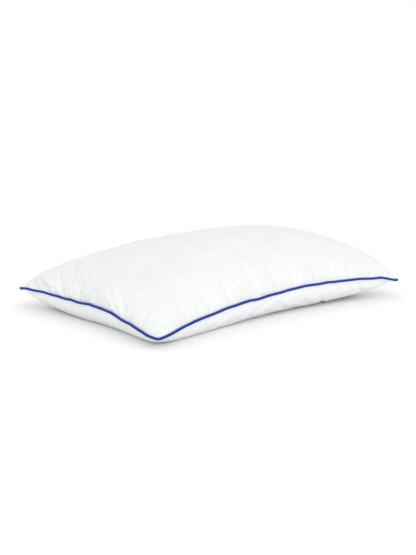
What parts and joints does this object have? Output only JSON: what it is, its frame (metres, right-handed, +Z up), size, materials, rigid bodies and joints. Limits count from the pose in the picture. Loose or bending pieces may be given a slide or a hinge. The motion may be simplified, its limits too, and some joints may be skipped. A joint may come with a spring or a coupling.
{
  "type": "bed pillow",
  "caption": "Rectangular bed pillow with a ribbed white top, a plain white underside and blue corded piping round the seam.",
  "frame": {"origin": "on the floor, under the middle of the pillow lying on its underside", "axes": "+X along the length towards the closed end, +Y across the width towards the labelled side, +Z up"},
  "size_m": [0.6956, 0.4736, 0.1551],
  "materials": {
    "ribbed_cloth": "cool white brushed microfibre with raised self-coloured cross ribs",
    "plain_cloth": "plain white microfibre, matte",
    "piping_cloth": "royal blue bias-cut plain weave",
    "cord_cotton": "undyed twisted cotton cord",
    "fibre": "loose white hollow polyester fibre",
    "thread": "white spun polyester sewing thread",
    "label_satin": "blank white woven satin"
  },
  "bodies": {
    "root": {"top_panel": "ribbed_cloth", "bottom_panel": "plain_cloth", "piping_cover": "piping_cloth", "piping_cord": "cord_cotton", "fill": "fibre", "needle_thread": "thread", "bobbin_thread": "thread", "overlock_thread": "thread", "closing_thread": "thread", "care_label": "label_satin"}
  },
  "joints": []
}
